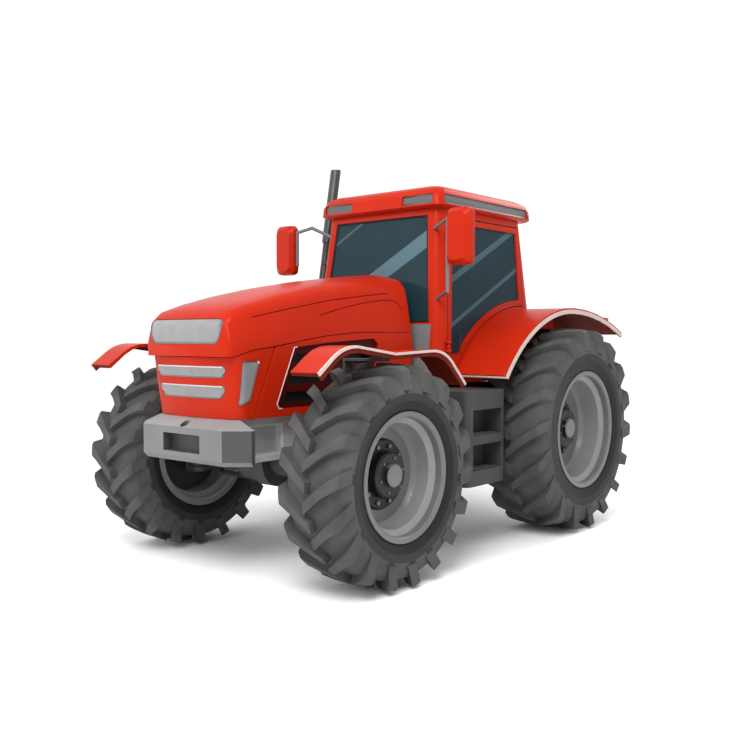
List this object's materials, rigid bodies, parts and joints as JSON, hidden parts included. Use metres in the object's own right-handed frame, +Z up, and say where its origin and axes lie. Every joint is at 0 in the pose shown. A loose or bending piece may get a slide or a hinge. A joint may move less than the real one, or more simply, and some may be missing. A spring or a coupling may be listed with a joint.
{
  "type": "farm tractor",
  "caption": "Four-wheel-drive farm tractor with a cab, tilting bonnet, opening door, steered front axle under mudguards, lugged tyres and a rear three-point linkage.",
  "frame": {"origin": "on the ground under the middle of the whole machine's box", "axes": "+Z up, -Y forwards, +X towards the tractor's left"},
  "size_m": [2.64, 4.23, 3.14],
  "materials": {
    "casting": "dark grey painted casting",
    "red_paint": "gloss red paint",
    "louvre": "dark red moulding",
    "lamp": "pale grey lens",
    "grey_panel": "mid grey moulding",
    "bumper_paint": "grey paint",
    "tail_lamp": "red lens",
    "glass": "tinted glass",
    "cab_plastic": "black moulding",
    "seat_cloth": "dark grey cloth",
    "tank_plastic": "dark grey moulding",
    "exhaust_steel": "heat-darkened steel",
    "mirror_arm": "grey powder coat",
    "tyre": "worn black rubber",
    "rim_paint": "grey paint"
  },
  "bodies": {
    "chassis": {"front_frame": "casting", "engine_block": "casting", "gearbox": "casting", "rear_axle": "casting", "front_axle": "casting", "front_bumper": "bumper_paint", "nose_panel": "red_paint", "nose_lamps": "lamp", "side_panel_left": "red_paint", "side_panel_right": "red_paint", "side_louvres": "louvre", "cab_frame": "red_paint", "cab_floor": "cab_plastic", "cowl_panel": "grey_panel", "windscreen": "glass", "rear_window": "glass", "side_window_right": "glass", "roof": "red_paint", "roof_panels": "grey_panel", "rear_guard_left": "red_paint", "rear_guard_right": "red_paint", "seat_base": "cab_plastic", "seat_cushion": "seat_cloth", "seat_back": "seat_cloth", "dash": "cab_plastic", "steering_wheel": "cab_plastic", "fuel_tank": "tank_plastic", "battery_box": "tank_plastic", "exhaust": "exhaust_steel", "mirror_arms": "mirror_arm", "mirror_heads": "red_paint", "rear_lamps": "tail_lamp", "drawbar": "casting"},
    "bonnet": {"bonnet": "red_paint", "headlamp": "lamp"},
    "door": {"door_frame": "red_paint", "door_glass": "glass"},
    "knuckle_left": {"knuckle_left": "casting", "front_guard_left": "red_paint"},
    "knuckle_right": {"knuckle_right": "casting", "front_guard_right": "red_paint"},
    "wheel_front_left": {"tyre_front_left": "tyre", "rim_front_left": "rim_paint"},
    "wheel_front_right": {"tyre_front_right": "tyre", "rim_front_right": "rim_paint"},
    "wheel_rear_left": {"tyre_rear_left": "tyre", "rim_rear_left": "rim_paint"},
    "wheel_rear_right": {"tyre_rear_right": "tyre", "rim_rear_right": "rim_paint"},
    "tie_rod": {"tie_rod": "casting"},
    "lift_arms": {"lift_arms": "casting"},
    "lift_rods": {"lift_rods": "casting"},
    "lower_links": {"lower_links": "casting"}
  },
  "joints": [
    {"name": "steer_left", "type": "hinge", "parent": "chassis", "child": "knuckle_left", "pos_m": [0.86, -1.275, 0.735], "axis": [0, 0, 1], "range_deg": [-30, 30]},
    {"name": "steer_right", "type": "hinge", "parent": "chassis", "child": "knuckle_right", "pos_m": [-0.86, -1.275, 0.735], "axis": [0, 0, 1], "range_deg": [-30, 30]},
    {"name": "tie_rod_swing", "type": "hinge", "parent": "knuckle_left", "child": "tie_rod", "pos_m": [0.86, -1.07, 0.592], "axis": [0, 0, 1], "range_deg": [-30, 30]},
    {"name": "wheel_front_left_spin", "type": "hinge", "parent": "knuckle_left", "child": "wheel_front_left", "pos_m": [1.015, -1.275, 0.735], "axis": [1, 0, 0], "continuous": true},
    {"name": "wheel_front_right_spin", "type": "hinge", "parent": "knuckle_right", "child": "wheel_front_right", "pos_m": [-1.015, -1.275, 0.735], "axis": [1, 0, 0], "continuous": true},
    {"name": "wheel_rear_left_spin", "type": "hinge", "parent": "chassis", "child": "wheel_rear_left", "pos_m": [1.03, 1.105, 0.855], "axis": [1, 0, 0], "continuous": true},
    {"name": "wheel_rear_right_spin", "type": "hinge", "parent": "chassis", "child": "wheel_rear_right", "pos_m": [-1.03, 1.105, 0.855], "axis": [1, 0, 0], "continuous": true},
    {"name": "bonnet_tilt", "type": "hinge", "parent": "chassis", "child": "bonnet", "pos_m": [0, -0.29, 2.058], "axis": [-1, 0, 0], "range_deg": [0, 50]},
    {"name": "door_swing", "type": "hinge", "parent": "chassis", "child": "door", "pos_m": [0.69864, -0.06238, 1.56], "axis": [0.073, -0.1139, -0.9908], "range_deg": [0, 75]},
    {"name": "hitch_lift", "type": "hinge", "parent": "chassis", "child": "lift_arms", "pos_m": [0, 1.285, 1.18], "axis": [1, 0, 0], "range_deg": [-10, 30]},
    {"name": "lower_link_lift", "type": "hinge", "parent": "chassis", "child": "lower_links", "pos_m": [0, 1.225, 0.6], "axis": [1, 0, 0], "range_deg": [-10, 30]},
    {"name": "lift_rod_swing", "type": "hinge", "parent": "lift_arms", "child": "lift_rods", "pos_m": [0, 1.705, 1.18], "axis": [1, 0, 0], "range_deg": [-30, 10]}
  ],
  "couplings": [
    {"joint": "steer_right", "follows": "steer_left", "ratio": 1},
    {"joint": "tie_rod_swing", "follows": "steer_left", "ratio": -1},
    {"joint": "lower_link_lift", "follows": "hitch_lift", "ratio": 1},
    {"joint": "lift_rod_swing", "follows": "hitch_lift", "ratio": -1}
  ]
}
